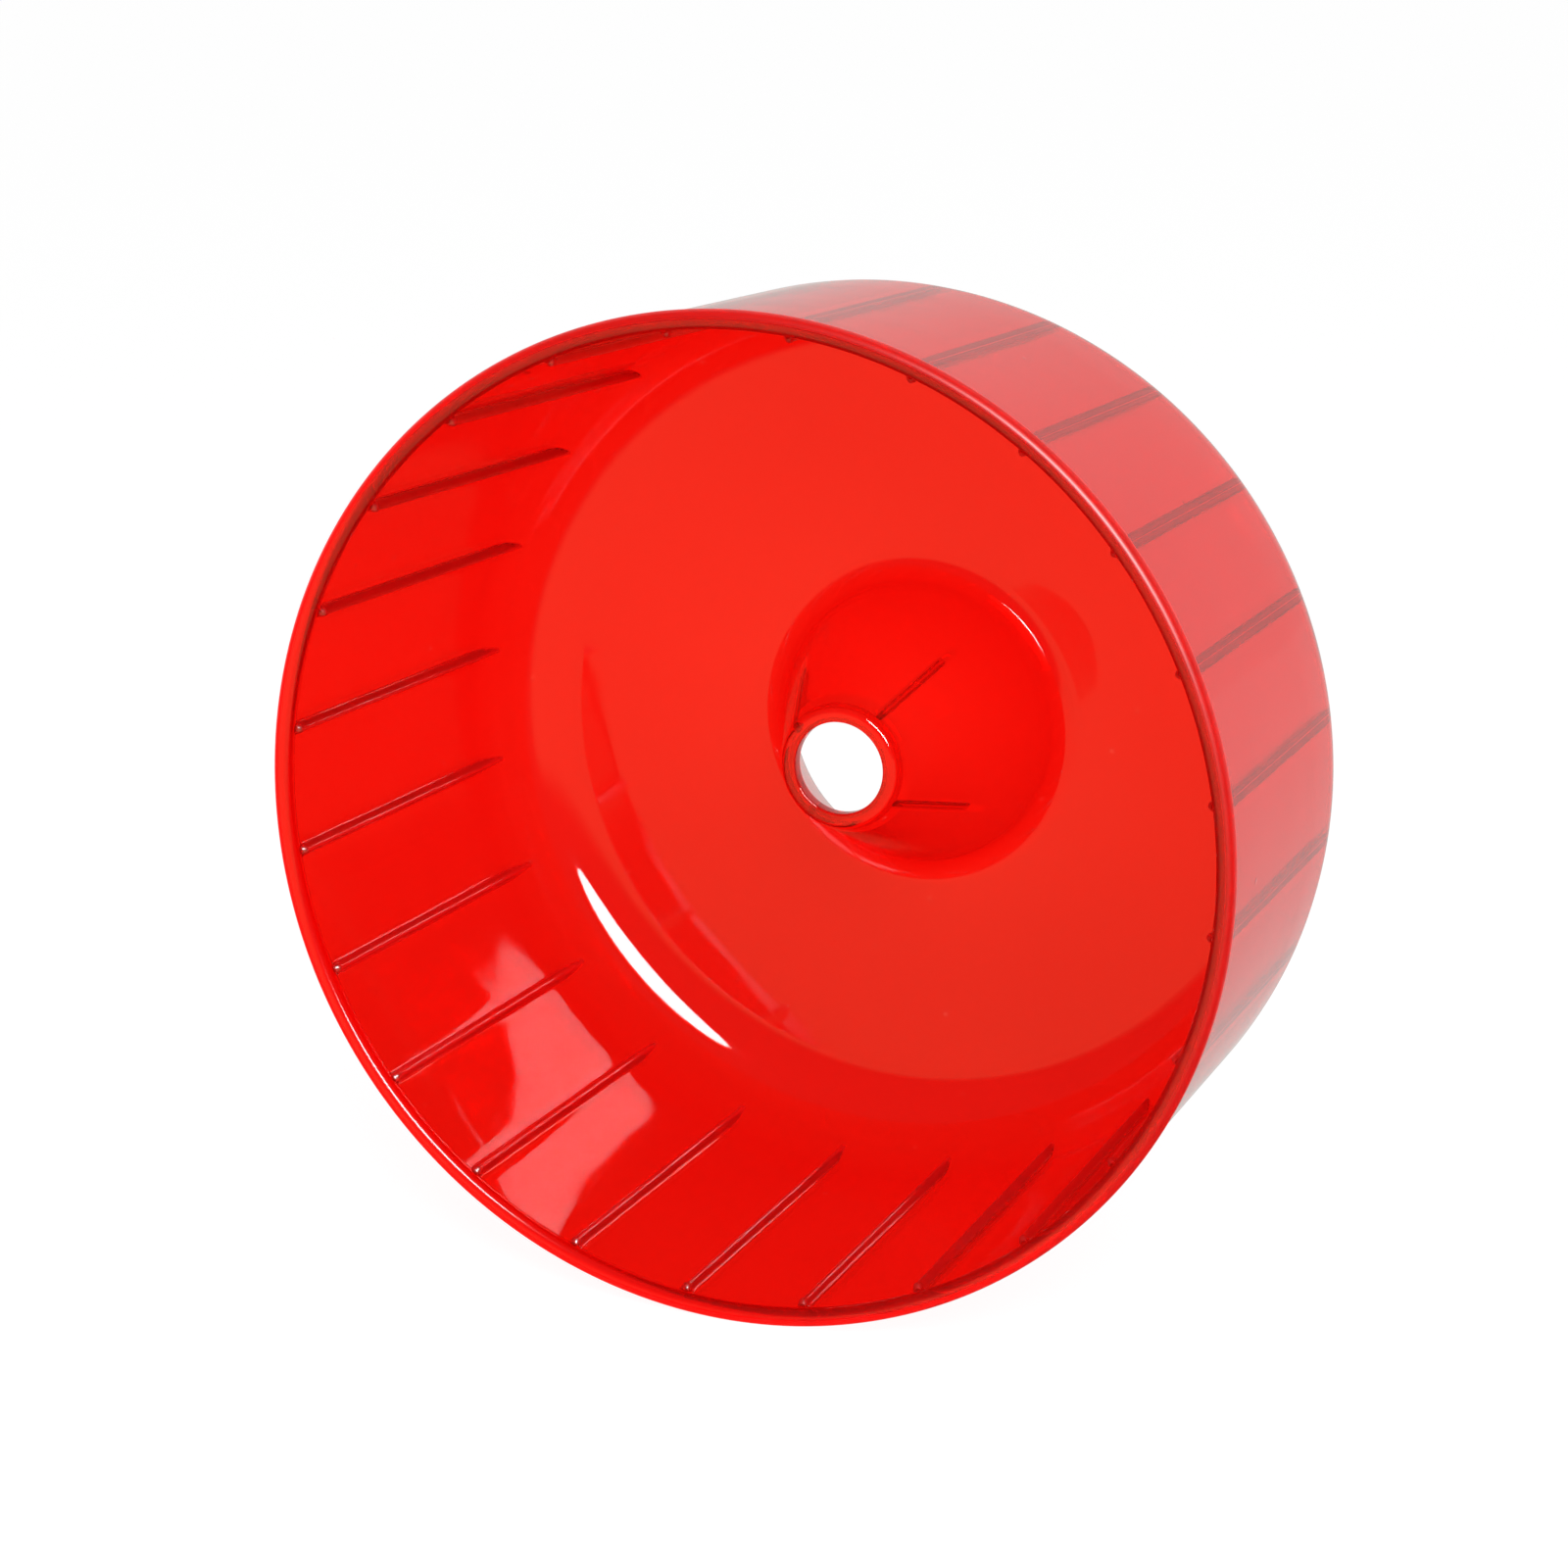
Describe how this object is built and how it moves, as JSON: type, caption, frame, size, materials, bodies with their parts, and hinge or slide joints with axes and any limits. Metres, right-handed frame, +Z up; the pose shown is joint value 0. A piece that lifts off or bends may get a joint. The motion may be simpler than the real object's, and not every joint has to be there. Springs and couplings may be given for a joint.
{
  "type": "hamster exercise wheel",
  "caption": "Clear red plastic running wheel for a hamster: a drum open at the front, with half-round bars inside its wall, a dished back plate and a hollow cone hub with an axle bore.",
  "frame": {"origin": "middle of the axle bore, at the tip of the hub", "axes": "+Y along the spin axis, from the open front to the closed back; +Z up, with the axle level"},
  "size_m": [0.14, 0.0725, 0.14],
  "materials": {
    "clear_red_plastic": "gloss, translucent"
  },
  "bodies": {
    "root": {"wheel": "clear_red_plastic"}
  },
  "joints": []
}
